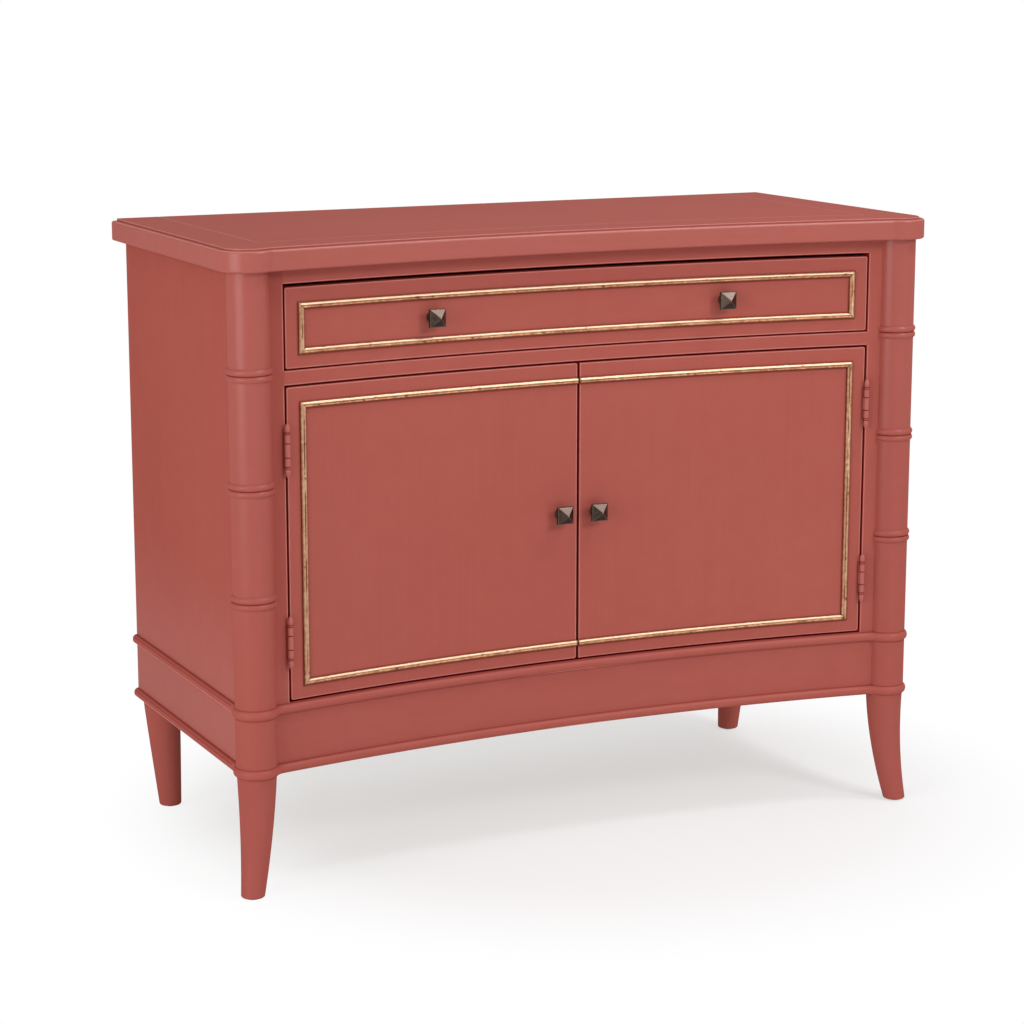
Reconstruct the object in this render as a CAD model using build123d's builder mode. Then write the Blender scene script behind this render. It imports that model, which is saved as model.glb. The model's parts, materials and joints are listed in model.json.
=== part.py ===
# Accent cabinet with a concave front: one drawer over a two-door cupboard, on a moulded
# base with sabre front legs. Millimetres, +Z up, origin at the middle of the footprint on
# the floor. +X is the cabinet's right as seen from the front, and -Y is the front.
from build123d import *
import os
from math import asin, cos, sin, sqrt

os.makedirs("parts", exist_ok=True)

# overall size
height = 868
width = 1067
depth = 487
back_y = depth / 2

# top
top_thickness = 31
top_corner_radius = 39
top_step_height = 3
top_edge_inset = 7.8
top_edge_round = 3.4
top_arris_round = 0.8
top_under_round = 3
top_front_overhang = 24.4
top_shoulder_fillet = 6
top_line_inset = 69
top_line_width = 1.4
top_line_depth = 0.3
top_low = height - top_thickness

# turned front columns, let into the case's front corners
column_x = width / 2 - top_corner_radius
column_y = -depth / 2 + top_corner_radius
column_radius = 27.7
node_heights = (403, 553, 703)
node_reach = 9
node_proud = 2.7
node_groove_proud = 0.3

# concave front: frame, doors and drawer front share one arc
opening_half = 447
bow = 36
frame_y = column_y - 2.5
front_radius = (opening_half**2 + bow**2) / (2 * bow)
front_centre_y = frame_y + bow - front_radius
frame_thickness = 22

# case
panel_thickness = 18
side_outer = 513.4
side_inner = side_outer - panel_thickness
side_front_y = column_y + 8
base_low = 164
case_height = top_low - base_low
back_thickness = 6
back_rabbet_width = 9
back_rabbet_depth = 7.5
back_panel_y = back_y - back_rabbet_depth
rear_rail_thickness = 18
rear_top_rail_height = 40

# front openings
cupboard_low = 259.5
cupboard_high = 684.5
drawer_low = 704.5
drawer_high = 817
openings = ((cupboard_low, cupboard_high), (drawer_low, drawer_high))

# base mouldings
moulding_height = 14
moulding_proud = 6.5
moulding_ring_proud = 3.6
moulding_round = 6.4
moulding_fillet = 18
moulding_side_fillet = 4
upper_moulding_low = cupboard_low - moulding_height - 0.5

# legs
leg_top_radius = 26.5
leg_foot_radius = 16
leg_sections = 8
leg_taper_power = 1.1
sabre_power = 2
front_foot_shift = 14
rear_foot_shift_x = 10.5
rear_foot_shift_y = 3
rear_leg_x = side_outer - leg_top_radius
rear_leg_y = back_y - leg_top_radius
foot_round = 2.5
glide_radius = 10
glide_height = 1.5
leg_block_size = 44
dowel_radius = 4
dowel_length = 44
front_dowel_offset = 9

# doors
door_gap = 2
door_hinge_gap = 2.1
meeting_gap_front = 1.2
meeting_gap_back = 3.9
door_thickness = 22
door_low = cupboard_low + door_gap
door_high = cupboard_high - door_gap
door_middle = (door_low + door_high) / 2
edge_ease = 1.4
panel_corner_round = 3
rail_chamfer = 1

# drawer
drawer_side_gap = 1.7
drawer_low_gap = 1.4
drawer_high_gap = 4.1
drawer_front_thickness = 20
drawer_outer = 440
drawer_side_thickness = 12
drawer_side_low = drawer_low + 0.4
drawer_side_high = 806
drawer_back_y = back_panel_y - 22
drawer_bottom_low = 716
drawer_bottom_thickness = 6
drawer_back_high = 795

# gilt moulding on the doors and the drawer front
trim_inset = 19.3
trim_drop = 1.5
trim_width = 9
trim_web_proud = 2.2
trim_proud = 4
trim_lobe_width = 4.2
trim_lobe_round = 1.6

# knobs
drawer_knob_x = 224.5
door_knob_x = 27
knob_head = 24.5
knob_band = 4
knob_point = 9
knob_tip = 1.2
knob_rose_radius = 9
knob_rose_height = 2.5
knob_stem_radius = 5.5
knob_flare_radius = 9
knob_stem_length = 12
knob_screw_radius = 2
knob_screw_reach = 9
knob_screw_head_radius = 4.2
knob_screw_head_height = 2.4
panel_hole_radius = 2.3

# hinges
hinge_x = opening_half - 1
hinge_y = frame_y - 4.4
hinge_heights = (342, 600)
hinge_leaf_height = 43
hinge_leaf_thickness = 1.2
hinge_leaf_depth = 18
hinge_leaf_start = 0.9
knuckle_radius = 3.8
knuckle_end = 12
knuckle_gap = 0.3
knuckle_ease = 0.7
pin_radius = 2
pin_running_gap = 0.05
finial_height = 14
finial_collar = 2.4
finial_neck_radius = 3.1
finial_bulb_radius = 3.8
finial_tip_radius = 1.7
hinge_screw_radius = 1.6
hinge_screw_length = 14
hinge_screw_head_radius = 3
hinge_screw_spread = 14

# inside
shelf_thickness = 18
shelf_top = 482
shelf_side_gap = 1.5
shelf_front_y = frame_y + bow + frame_thickness + 25
shelf_pin_radius = 2.5
shelf_pin_reach = 9
shelf_pin_places = (shelf_front_y + 40, back_panel_y - 45)
guide_width = 18
guide_height = 20
guide_gap = 1
kicker_width = 25
kicker_height = 20
stop_x = 250
stop_width = 40
stop_depth = 16
stop_height = 8
stop_gap = 0.4
catch_x = 62
catch_width = 46
catch_depth = 14
catch_gap = 0.8
strike_width = 36
strike_height = 13
strike_thickness = 1.2
strike_low = door_high - strike_height - 3
catch_low = strike_low - 1
back_screw_radius = 2
back_screw_length = 14
back_screw_head_radius = 3.6
back_screw_head_height = 1.6


def front_y(x, behind=0):
    # y of the front's arc at x, or of an arc that lies behind it
    return front_centre_y + sqrt((front_radius + behind) ** 2 - x**2)


def bowed_strip(left, right, front, back):
    # plan of a strip between two arcs, each so far behind the front's face
    with BuildSketch() as strip:
        with BuildLine():
            middle = (left + right) / 2
            arcs = []
            for behind in (front, back):
                ends = [(x, front_y(x, behind)) for x in (left, middle, right)]
                arcs.append(ThreePointArc(*ends))
            Line(arcs[0] @ 0, arcs[1] @ 0)
            Line(arcs[0] @ 1, arcs[1] @ 1)
        make_face()
    return strip.sketch


def bowed_board(left, right, front, back_line):
    # plan of a board whose front follows the arc and whose back is straight
    with BuildSketch() as board:
        with BuildLine():
            middle = (left + right) / 2
            arc = ThreePointArc(*[(x, front_y(x, front)) for x in (left, middle, right)])
            Polyline(arc @ 1, (right, back_line), (left, back_line), arc @ 0)
        make_face()
    return board.sketch


def hollow_corners(plan, ahead):
    # concave corners beside the columns, ahead of their axes or behind them
    near = [v for v in plan.vertices() if opening_half < abs(v.X) and v.Y < column_y + 30]
    return [v for v in near if (v.Y < column_y) == ahead]


def cabinet_plan(front, side_reach, side_start, corner_radius, front_fillet=0, side_fillet=0):
    # plan of the cabinet: concave front, round corners on the column axes, straight sides
    with BuildSketch() as plan:
        add(bowed_board(-column_x, column_x, front, back_y))
        for side in (-1, 1):
            with Locations((side * (column_x + side_reach) / 2, (side_start + back_y) / 2)):
                Rectangle(side_reach - column_x, back_y - side_start)
            with Locations((side * column_x, column_y)):
                Circle(corner_radius)
        if front_fillet:
            fillet(hollow_corners(plan, True), front_fillet)
        if side_fillet:
            fillet(hollow_corners(plan, False), side_fillet)
    return plan.sketch


def top_outline(inset):
    side_reach = width / 2 - inset
    corner_radius = top_corner_radius - inset
    shoulder = top_shoulder_fillet + inset
    return cabinet_plan(inset - top_front_overhang, side_reach, column_y, corner_radius, shoulder)


def front_edges(part, height_at):
    # edges at one height, without those on the back plane
    level = part.edges().filter_by_position(Axis.Z, height_at - 0.01, height_at + 0.01)
    return [e for e in level if e.center().Y < back_y - 0.01]


def save(builder, name):
    builder.part.label = name
    export_step(builder.part, f"parts/{name}.step")


def upright_plane(origin):
    # plane that faces the front, for a half section turned about a vertical axis
    return Plane(origin=origin, x_dir=(1, 0, 0), z_dir=(0, -1, 0))


def sides():
    return (("left", -1), ("right", 1))


def span(side, inner, outer):
    # an x range on one side of the cabinet, lowest first
    return tuple(sorted((side * inner, side * outer)))


# top panel: a step and a quarter round run along the sides and the front, and a scored line
# marks a border inside them
top_line_x = width / 2 - top_line_inset
top_line_front = top_line_inset - top_front_overhang
with BuildPart() as top_panel:
    with BuildSketch(Plane.XY.offset(top_low)):
        add(top_outline(0))
    extrude(amount=top_thickness - top_step_height)
    fillet(front_edges(top_panel, height - top_step_height), top_edge_round)
    fillet(front_edges(top_panel, top_low), top_under_round)
    with BuildSketch(Plane.XY.offset(height - top_step_height)):
        add(top_outline(top_edge_inset))
    extrude(amount=top_step_height)
    fillet(front_edges(top_panel, height), top_arris_round)
    with BuildSketch(Plane.XY.offset(height)):
        add(bowed_strip(-top_line_x, top_line_x, top_line_front, top_line_front + top_line_width))
        for side_name, side in sides():
            ends = span(side, top_line_x - top_line_width, top_line_x)
            add(bowed_board(*ends, top_line_front, back_y))
    extrude(amount=-top_line_depth, mode=Mode.SUBTRACT)
save(top_panel, "top_panel")


# side panels, rabbeted at the back for the back panel
for side_name, side in sides():
    with BuildPart() as side_panel:
        with BuildSketch(Plane.XY.offset(base_low)):
            with Locations((side * (side_inner + side_outer) / 2, (side_front_y + back_y) / 2)):
                Rectangle(panel_thickness, back_y - side_front_y)
        extrude(amount=case_height)
        with BuildSketch(Plane.XY.offset(cupboard_low - panel_thickness)):
            rabbet_x = side * (side_inner + back_rabbet_width / 2)
            with Locations((rabbet_x, back_y - back_rabbet_depth / 2)):
                Rectangle(back_rabbet_width, back_rabbet_depth)
        extrude(amount=top_low - cupboard_low + panel_thickness, mode=Mode.SUBTRACT)
    save(side_panel, f"{side_name}_side_panel")


# columns: turned rounds with bamboo nodes, cut away for the stile and the side panel
def column_profile():
    with BuildSketch() as profile:
        with BuildLine():
            here = (column_radius, base_low)
            Line((0, base_low), here)
            for node in node_heights:
                foot = (column_radius, node - node_reach)
                crest_low = (column_radius + node_proud, node - node_reach * 0.4)
                groove = (column_radius + node_groove_proud, node)
                crest_high = (column_radius + node_proud, node + node_reach * 0.4)
                head = (column_radius, node + node_reach)
                Line(here, foot)
                ThreePointArc(foot, crest_low, groove)
                ThreePointArc(groove, crest_high, head)
                here = head
            Polyline(here, (column_radius, top_low), (0, top_low), (0, base_low))
        make_face()
    return profile.sketch


for side_name, side in sides():
    column_foot = (side * column_x, column_y, 0)
    with BuildPart() as column:
        with BuildSketch(upright_plane(column_foot)):
            add(column_profile())
        revolve(axis=Axis(column_foot, (0, 0, 1)))
        with BuildSketch(Plane.XY.offset(base_low)):
            add(bowed_strip(*span(side, opening_half, side_inner), 0, 80))
            with Locations((side * (side_inner + side_outer) / 2, side_front_y + 40)):
                Rectangle(panel_thickness, 80)
        extrude(amount=case_height, mode=Mode.SUBTRACT)
        dowel_place = (side * (column_x + front_dowel_offset), column_y - front_dowel_offset)
        with Locations((*dowel_place, base_low)):
            Cylinder(dowel_radius, dowel_length, mode=Mode.SUBTRACT)
    save(column, f"{side_name}_column")


# stiles beside the openings, recessed for the hinge leaves
for side_name, side in sides():
    with BuildPart() as stile:
        with BuildSketch(Plane.XY.offset(base_low)):
            add(bowed_strip(*span(side, opening_half, side_inner), 0, frame_thickness))
        extrude(amount=case_height)
        leaf_x = side * (opening_half + hinge_leaf_thickness / 2)
        for opening_low, opening_high in openings:
            with BuildSketch(Plane.XY.offset(opening_low)):
                ease_x = side * (opening_half + edge_ease)
                ease_y = front_y(ease_x) + edge_ease
                with Locations((side * (opening_half + edge_ease / 2), ease_y - edge_ease)):
                    Rectangle(edge_ease, 2 * edge_ease)
                with Locations((ease_x, ease_y)):
                    Circle(edge_ease, mode=Mode.SUBTRACT)
            extrude(amount=opening_high - opening_low, mode=Mode.SUBTRACT)
        recess_y = frame_y + (hinge_leaf_depth - hinge_leaf_start) / 2
        recess_depth = hinge_leaf_depth + hinge_leaf_start
        with Locations([(leaf_x, recess_y, z) for z in hinge_heights]):
            Box(hinge_leaf_thickness, recess_depth, hinge_leaf_height, mode=Mode.SUBTRACT)
    save(stile, f"{side_name}_stile")


def is_opening_edge(level):
    return any(abs(level - edge) < 0.01 for opening in openings for edge in opening)


# rails and apron between the stiles
rails = {
    "top_rail": (drawer_high, top_low),
    "middle_rail": (cupboard_high, drawer_low),
    "front_apron": (base_low, cupboard_low),
}
for rail_name, (rail_low, rail_high) in rails.items():
    with BuildPart() as rail:
        with BuildSketch(Plane.XY.offset(rail_low)):
            add(bowed_strip(-opening_half, opening_half, 0, frame_thickness))
        extrude(amount=rail_high - rail_low)
        eased = [
            e for e in rail.edges().filter_by(GeomType.CIRCLE)
            if abs(e.radius - front_radius) < 1 and is_opening_edge(e.center().Z)
        ]
        chamfer(eased, rail_chamfer)
    save(rail, rail_name)


# cupboard floor, and the divider that the drawer runs on
boards = {"bottom_panel": cupboard_low, "drawer_divider": drawer_low}
for board_name, board_top in boards.items():
    with BuildPart() as board:
        with BuildSketch(Plane.XY.offset(board_top - panel_thickness)):
            add(bowed_board(-side_inner, side_inner, frame_thickness, back_panel_y))
        extrude(amount=panel_thickness)
    save(board, board_name)


# back panel and the rails behind it
back_low = cupboard_low - panel_thickness
with BuildPart() as back_panel:
    with BuildSketch(Plane.XY.offset(back_low)):
        with Locations((0, back_panel_y + back_thickness / 2)):
            Rectangle(2 * (side_inner + back_rabbet_width), back_thickness)
    extrude(amount=top_low - back_low)
save(back_panel, "back_panel")

with BuildPart() as rear_top_rail:
    with BuildSketch(Plane.XY.offset(top_low - rear_top_rail_height)):
        with Locations((0, back_panel_y - rear_rail_thickness / 2)):
            Rectangle(2 * side_inner, rear_rail_thickness)
    extrude(amount=rear_top_rail_height)
save(rear_top_rail, "rear_top_rail")

with BuildPart() as rear_apron:
    with BuildSketch(Plane.XY.offset(base_low)):
        with Locations((0, back_y - rear_rail_thickness / 2)):
            Rectangle(2 * side_inner, rear_rail_thickness)
    extrude(amount=back_low - base_low)
save(rear_apron, "rear_apron")


# base mouldings: half rounds that wrap the sides, the columns and the concave front
outer_plan = cabinet_plan(
    -moulding_proud,
    side_outer + moulding_proud,
    column_y,
    column_radius + moulding_ring_proud,
    moulding_fillet,
    moulding_side_fillet,
)
base_plan = cabinet_plan(0, side_outer, side_front_y, column_radius)
mouldings = {"lower_base_moulding": base_low, "upper_base_moulding": upper_moulding_low}
for moulding_name, moulding_low in mouldings.items():
    with BuildPart() as moulding:
        with BuildSketch(Plane.XY.offset(moulding_low)):
            add(outer_plan)
        extrude(amount=moulding_height)
        fillet(front_edges(moulding, moulding_low), moulding_round)
        fillet(front_edges(moulding, moulding_low + moulding_height), moulding_round)
        with BuildSketch(Plane.XY.offset(moulding_low)):
            add(base_plan)
        extrude(amount=moulding_height, mode=Mode.SUBTRACT)
    save(moulding, moulding_name)


# legs: round tapers whose feet move out along a curve
leg_places = {
    "front_left_leg": (-column_x, column_y, -front_foot_shift, -front_foot_shift),
    "front_right_leg": (column_x, column_y, front_foot_shift, -front_foot_shift),
    "rear_left_leg": (-rear_leg_x, rear_leg_y, rear_foot_shift_x, rear_foot_shift_y),
    "rear_right_leg": (rear_leg_x, rear_leg_y, -rear_foot_shift_x, rear_foot_shift_y),
}
dowel_places = {}
for leg_name, (leg_x, leg_y, shift_x, shift_y) in leg_places.items():
    outward = 1 if leg_x > 0 else -1
    if leg_name.startswith("front"):
        dowel_places[leg_name] = (leg_x + outward * front_dowel_offset, leg_y - front_dowel_offset)
        curve = sabre_power
    else:
        dowel_places[leg_name] = (leg_x - outward * 2 * dowel_radius, leg_y - dowel_radius)
        curve = 1
    with BuildPart() as leg:
        for step in range(leg_sections):
            fallen = step / (leg_sections - 1)
            level = base_low - fallen * (base_low - glide_height)
            bend = fallen**curve
            radius = leg_top_radius - (leg_top_radius - leg_foot_radius) * fallen**leg_taper_power
            with BuildSketch(Plane.XY.offset(level)):
                with Locations((leg_x + shift_x * bend, leg_y + shift_y * bend)):
                    Circle(radius)
        loft()
        fillet(leg.edges().sort_by(Axis.Z)[0], foot_round)
        with Locations((*dowel_places[leg_name], base_low)):
            Cylinder(dowel_radius, dowel_length, mode=Mode.SUBTRACT)
    save(leg, leg_name)

with BuildPart() as rear_leg_blocks:
    with BuildSketch(Plane.XY.offset(base_low)):
        block_y = back_y - rear_rail_thickness - leg_block_size / 2
        block_x = side_inner - leg_block_size / 2
        with Locations((-block_x, block_y), (block_x, block_y)):
            Rectangle(leg_block_size, leg_block_size)
    extrude(amount=back_low - base_low)
    for leg_name in ("rear_left_leg", "rear_right_leg"):
        with Locations((*dowel_places[leg_name], base_low)):
            Cylinder(dowel_radius, dowel_length, mode=Mode.SUBTRACT)
save(rear_leg_blocks, "rear_leg_blocks")

with BuildPart() as leg_dowels:
    with Locations([(*place, base_low) for place in dowel_places.values()]):
        Cylinder(dowel_radius, dowel_length)
save(leg_dowels, "leg_dowels")

with BuildPart() as foot_glides:
    with BuildSketch():
        with Locations([(x + dx, y + dy) for x, y, dx, dy in leg_places.values()]):
            Circle(glide_radius)
    extrude(amount=glide_height)
save(foot_glides, "foot_glides")


# drawer guides, kickers and stops inside the case
guide_inner = drawer_outer + guide_gap
kicker_outer = opening_half - 2
with BuildPart() as drawer_guides:
    with BuildSketch(Plane.XY.offset(drawer_low)):
        for side_name, side in sides():
            ends = span(side, guide_inner, guide_inner + guide_width)
            add(bowed_board(*ends, frame_thickness, back_panel_y))
    extrude(amount=guide_height)
save(drawer_guides, "drawer_guides")

with BuildPart() as drawer_kickers:
    with BuildSketch(Plane.XY.offset(top_low - kicker_height)):
        for side_name, side in sides():
            ends = span(side, kicker_outer - kicker_width, kicker_outer)
            add(bowed_board(*ends, frame_thickness, back_panel_y - rear_rail_thickness))
    extrude(amount=kicker_height)
save(drawer_kickers, "drawer_kickers")

with BuildPart() as drawer_stops:
    with BuildSketch(Plane.XY.offset(drawer_low)):
        for side_name, side in sides():
            ends = span(side, stop_x - stop_width / 2, stop_x + stop_width / 2)
            stop_front = drawer_front_thickness + stop_gap
            add(bowed_strip(*ends, stop_front, stop_front + stop_depth))
    extrude(amount=stop_height)
save(drawer_stops, "drawer_stops")


# shelf on four pins
with BuildPart() as shelf:
    with BuildSketch(Plane.XY.offset(shelf_top - shelf_thickness)):
        shelf_back_y = back_panel_y - shelf_side_gap
        with Locations((0, (shelf_front_y + shelf_back_y) / 2)):
            Rectangle(2 * (side_inner - shelf_side_gap), shelf_back_y - shelf_front_y)
    extrude(amount=shelf_thickness)
    fillet(shelf.edges().filter_by(Axis.X).group_by(Axis.Y)[0], edge_ease)
save(shelf, "shelf")

pin_z = shelf_top - shelf_thickness - shelf_pin_radius
with BuildPart() as shelf_pins:
    places = [(side * side_inner, y, pin_z) for _, side in sides() for y in shelf_pin_places]
    with Locations(places):
        Cylinder(shelf_pin_radius, 2 * shelf_pin_reach, rotation=(0, 90, 0))
save(shelf_pins, "shelf_pins")


# butt hinges: a leaf and knuckles on the frame, a leaf and knuckle on the door, and a pin
knuckle_middle = hinge_leaf_height - 2 * knuckle_end - 2 * knuckle_gap
leaf_back_y = frame_y + hinge_leaf_depth
door_edge = opening_half - door_hinge_gap


def eased_knuckle(knuckle_height):
    with BuildPart(mode=Mode.PRIVATE) as knuckle:
        Cylinder(knuckle_radius, knuckle_height)
        chamfer(knuckle.edges().filter_by(GeomType.CIRCLE), knuckle_ease)
    return knuckle.part


def leaf_solid(side, leaf_x, knuckles, bore_radius):
    # one hinge leaf: a plate, straps to its knuckles, and the bored knuckles
    with BuildPart() as leaf:
        for hinge_z in hinge_heights:
            plate_y = (frame_y + hinge_leaf_start + leaf_back_y) / 2
            with Locations((leaf_x, plate_y, hinge_z)):
                plate_depth = leaf_back_y - frame_y - hinge_leaf_start
                Box(hinge_leaf_thickness, plate_depth, hinge_leaf_height)
            for knuckle_z, knuckle_height in knuckles:
                strap_y = (hinge_y + frame_y + hinge_leaf_start) / 2
                with Locations((leaf_x, strap_y, hinge_z + knuckle_z)):
                    strap_depth = frame_y + hinge_leaf_start - hinge_y
                    Box(hinge_leaf_thickness, strap_depth, knuckle_height)
                with Locations((side * hinge_x, hinge_y, hinge_z + knuckle_z)):
                    add(eased_knuckle(knuckle_height))
            with Locations((side * hinge_x, hinge_y, hinge_z)):
                Cylinder(bore_radius, hinge_leaf_height, mode=Mode.SUBTRACT)
    return leaf


knuckle_end_z = (hinge_leaf_height - knuckle_end) / 2
end_knuckles = ((-knuckle_end_z, knuckle_end), (knuckle_end_z, knuckle_end))
middle_knuckle = ((0, knuckle_middle),)
for side_name, side in sides():
    frame_leaf_x = side * (opening_half + hinge_leaf_thickness / 2)
    frame_leaves = leaf_solid(side, frame_leaf_x, end_knuckles, pin_radius)
    save(frame_leaves, f"{side_name}_hinge_frame_leaves")
    door_leaf_x = side * (door_edge - hinge_leaf_thickness / 2)
    door_leaves = leaf_solid(side, door_leaf_x, middle_knuckle, pin_radius + pin_running_gap)
    save(door_leaves, f"{side_name}_door_hinge_leaves")


def pin_profile():
    # half section of a hinge pin with a collar, a bulb and a blunt tip at both ends
    shoulder = hinge_leaf_height / 2
    with BuildSketch() as profile:
        with BuildLine():
            Line((pin_radius, -shoulder), (pin_radius, shoulder))
            for up in (-1, 1):
                collar_top = up * (shoulder + finial_collar)
                bulb = up * (shoulder + finial_collar + (finial_height - finial_collar) * 0.3)
                tip = up * (shoulder + finial_height)
                Polyline(
                    (pin_radius, up * shoulder),
                    (knuckle_radius - knuckle_ease, up * shoulder),
                    (knuckle_radius, up * (shoulder + knuckle_ease)),
                    (knuckle_radius, collar_top),
                    (finial_neck_radius, collar_top + up * knuckle_ease),
                )
                Spline(
                    (finial_neck_radius, collar_top + up * knuckle_ease),
                    (finial_bulb_radius, bulb),
                    (finial_tip_radius, tip),
                )
                Line((finial_tip_radius, tip), (0, tip))
            full = shoulder + finial_height
            Line((0, -full), (0, full))
        make_face()
    return profile.sketch


for side_name, side in sides():
    with BuildPart() as pins:
        for hinge_z in hinge_heights:
            pin_middle = (side * hinge_x, hinge_y, hinge_z)
            with BuildSketch(upright_plane(pin_middle)):
                add(pin_profile())
            revolve(axis=Axis(pin_middle, (0, 0, 1)))
    save(pins, f"{side_name}_hinge_pins")


def leaf_screws(side, head_x, inward):
    # two countersunk screws in each leaf, driven along x
    with BuildPart() as screws:
        for hinge_z in hinge_heights:
            for spread in (-hinge_screw_spread, hinge_screw_spread):
                start = (head_x, frame_y + hinge_leaf_depth * 0.6, hinge_z + spread)
                with BuildSketch(Plane(origin=start, z_dir=(inward, 0, 0))):
                    Circle(hinge_screw_head_radius)
                extrude(amount=hinge_leaf_thickness, taper=45)
                with BuildSketch(Plane(origin=start, z_dir=(inward, 0, 0))):
                    Circle(hinge_screw_radius)
                extrude(amount=hinge_screw_length)
    return screws


with BuildPart() as frame_hinge_screws:
    for side_name, side in sides():
        add(leaf_screws(side, side * opening_half, side).part)
save(frame_hinge_screws, "frame_hinge_screws")
for side_name, side in sides():
    save(leaf_screws(side, side * door_edge, -side), f"{side_name}_door_hinge_screws")


# magnetic catches under the divider
with BuildPart() as magnetic_catches:
    with BuildSketch(Plane.XY.offset(catch_low)):
        for side_name, side in sides():
            ends = span(side, catch_x - catch_width / 2, catch_x + catch_width / 2)
            catch_front = door_thickness + strike_thickness + catch_gap
            add(bowed_strip(*ends, catch_front, catch_front + catch_depth))
    extrude(amount=drawer_low - panel_thickness - catch_low)
save(magnetic_catches, "magnetic_catches")


# screws that hold the back panel
back_face_y = back_panel_y + back_thickness
screw_columns = [side_inner * (-1 + 2 * i / 6) for i in range(1, 6)]
screw_places = [(x, z) for z in (back_low + 9, drawer_low - 9, top_low - 20) for x in screw_columns]
with BuildPart() as back_screws:
    for x, z in screw_places:
        with BuildSketch(Plane(origin=(x, back_face_y, z), z_dir=(0, 1, 0))):
            Circle(back_screw_head_radius)
        extrude(amount=back_screw_head_height)
        with BuildSketch(Plane(origin=(x, back_face_y, z), z_dir=(0, -1, 0))):
            Circle(back_screw_radius)
        extrude(amount=back_screw_length)
save(back_screws, "back_screws")


# gilt moulding: two lobes on a low web, on three or four sides of a field
def gilt_trim(left, right, low, high, open_side):
    # open_side is -1 or 1 where the frame is open to that side, and 0 where it is closed
    lobe_gap = trim_width - 2 * trim_lobe_width
    rings = (
        (0, trim_width, trim_web_proud),
        (0, trim_lobe_width, trim_proud),
        (trim_lobe_width + lobe_gap, trim_lobe_width, trim_proud),
    )
    with BuildPart() as trim:
        for start, ring_width, proud in rings:
            outer_left = left + (start if open_side != -1 else 0)
            outer_right = right - (start if open_side != 1 else 0)
            inner_left = outer_left + (ring_width if open_side != -1 else 0)
            inner_right = outer_right - (ring_width if open_side != 1 else 0)
            with BuildPart(mode=Mode.PRIVATE) as ring:
                with BuildSketch(Plane.XY.offset(low + start)):
                    add(bowed_strip(outer_left, outer_right, -proud, 0))
                extrude(amount=high - low - 2 * start)
                with BuildSketch(Plane.XY.offset(low + start + ring_width)):
                    add(bowed_strip(inner_left, inner_right, -proud, 0))
                extrude(amount=high - low - 2 * (start + ring_width), mode=Mode.SUBTRACT)
            add(ring.part)
    return trim


# doors
def panel_front_edges(part, thickness):
    # edges round a panel's concave face
    faces = part.faces().filter_by(GeomType.CYLINDER)
    front = [f for f in faces if abs(f.radius - front_radius) < thickness / 2]
    return front[0].edges()


def meeting_corners(door):
    # short edges where a door's slanted meeting edge turns into its top and its bottom
    middle = (meeting_gap_front + meeting_gap_back) / 2
    return [e for e in door.edges() if abs(abs(e.center().X) - middle) < 0.1]


def knob_plane(x, z, behind=0, outward=1):
    # plane on the front's face at x, facing out of the cabinet or into it
    lean = asin(x / front_radius)
    reach = front_radius + behind
    spot = (reach * sin(lean), front_centre_y + reach * cos(lean), z)
    facing = (-outward * sin(lean), -outward * cos(lean), 0)
    return Plane(origin=spot, x_dir=(cos(lean), -sin(lean), 0), z_dir=facing)


def knob(x, z):
    # square pyramid head on a turned stem, bored for its screw
    head_start = knob_stem_length
    with BuildPart() as turned:
        base = knob_plane(x, z)
        with BuildSketch(Plane(origin=base.origin, x_dir=base.x_dir, z_dir=-base.y_dir)):
            with BuildLine():
                Polyline(
                    (0, 0),
                    (knob_rose_radius, 0),
                    (knob_rose_radius, knob_rose_height),
                    (knob_stem_radius, knob_rose_height + 1),
                )
                Spline(
                    (knob_stem_radius, knob_rose_height + 1),
                    (knob_stem_radius, head_start * 0.6),
                    (knob_flare_radius, head_start),
                )
                Polyline((knob_flare_radius, head_start), (0, head_start), (0, 0))
            make_face()
        revolve(axis=Axis(base.origin, base.z_dir))
        with BuildSketch(base.offset(head_start)):
            Rectangle(knob_head, knob_head)
        extrude(amount=knob_band)
        with BuildSketch(base.offset(head_start + knob_band)):
            Rectangle(knob_head, knob_head)
        with BuildSketch(base.offset(head_start + knob_band + knob_point)):
            Rectangle(knob_tip, knob_tip)
        loft()
        with BuildSketch(base):
            Circle(knob_screw_radius)
        extrude(amount=knob_screw_reach, mode=Mode.SUBTRACT)
    return turned


def knob_screws(places, panel):
    with BuildPart() as screws:
        for x, z in places:
            inside = knob_plane(x, z, behind=panel, outward=-1)
            with BuildSketch(inside):
                Circle(knob_screw_head_radius)
            extrude(amount=knob_screw_head_height)
            with BuildSketch(inside):
                Circle(knob_screw_radius)
            extrude(amount=-(panel + knob_screw_reach))
    return screws


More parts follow.
